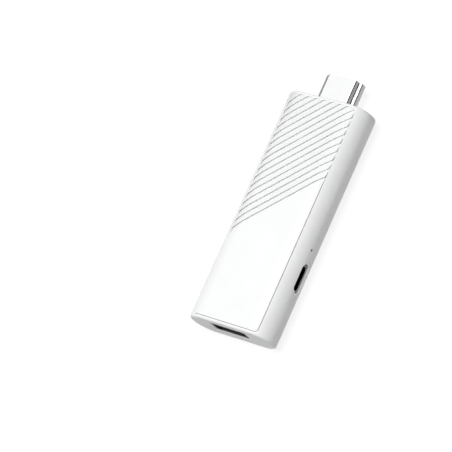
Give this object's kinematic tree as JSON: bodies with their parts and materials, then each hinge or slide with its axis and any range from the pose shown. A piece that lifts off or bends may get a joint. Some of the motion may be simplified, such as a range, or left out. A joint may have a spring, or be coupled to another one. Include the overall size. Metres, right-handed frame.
{
  "type": "streaming stick",
  "caption": "White TV stick with an HDMI plug at its tip, an inset cover with diagonal shingled ribs, a USB-A socket in the far end, and a power socket and reset pinhole in the side.",
  "frame": {"origin": "middle of the whole stick across and along, at the level of its back face", "axes": "+Y along the stick towards the tip of the HDMI plug; +Z from the back to the ribbed front face; +X across, towards the side with the power socket and the reset pinhole"},
  "size_m": [0.0312, 0.0904, 0.0138],
  "materials": {
    "white_housing": "satin moulded",
    "white_cover": "satin moulded",
    "circuit_board": "solder mask",
    "connector_steel": "nickel plated",
    "black_plastic": "moulded",
    "contact_gold": "gold plated",
    "spring_steel": "plain",
    "button_plastic": "moulded",
    "screw_steel": "blackened",
    "chip_package": "moulded",
    "sink_aluminium": "extruded",
    "soft_pad": "soft",
    "ferrite": "pressed powder",
    "ceramic": "fired",
    "can_metal": "tinned",
    "module_board": "solder mask",
    "aerial_ceramic": "fired"
  },
  "bodies": {
    "housing": {"base_shell": "white_housing", "top_cover": "white_cover", "main_board": "circuit_board", "hdmi_plug_shell": "connector_steel", "hdmi_plug_insulator": "black_plastic", "hdmi_contacts": "contact_gold", "usb_a_shell": "connector_steel", "usb_a_tongue": "black_plastic", "usb_a_contacts": "contact_gold", "usb_c_shell": "connector_steel", "usb_c_tongue": "black_plastic", "usb_c_contacts": "contact_gold", "reset_switch_base": "black_plastic", "reset_switch_frame": "spring_steel", "reset_switch_dome": "spring_steel", "board_screw_low": "screw_steel", "board_screw_high": "screw_steel", "processor": "chip_package", "heat_sink": "sink_aluminium", "thermal_pad": "soft_pad", "memory_chip_upper": "chip_package", "memory_chip_under": "chip_package", "storage_chip": "chip_package", "power_chip": "chip_package", "power_inductors": "ferrite", "ceramic_capacitors": "ceramic", "input_capacitors": "ceramic", "clock_crystal": "can_metal", "wireless_board": "module_board", "wireless_shield": "can_metal", "chip_aerial": "aerial_ceramic"},
    "reset_button": {"reset_switch_plunger": "button_plastic"}
  },
  "joints": [
    {"name": "reset_press", "type": "slide", "parent": "housing", "child": "reset_button", "axis": [-1, 0, 0], "range_m": [0, 0.00025], "stiffness_N_per_m": 6400}
  ]
}
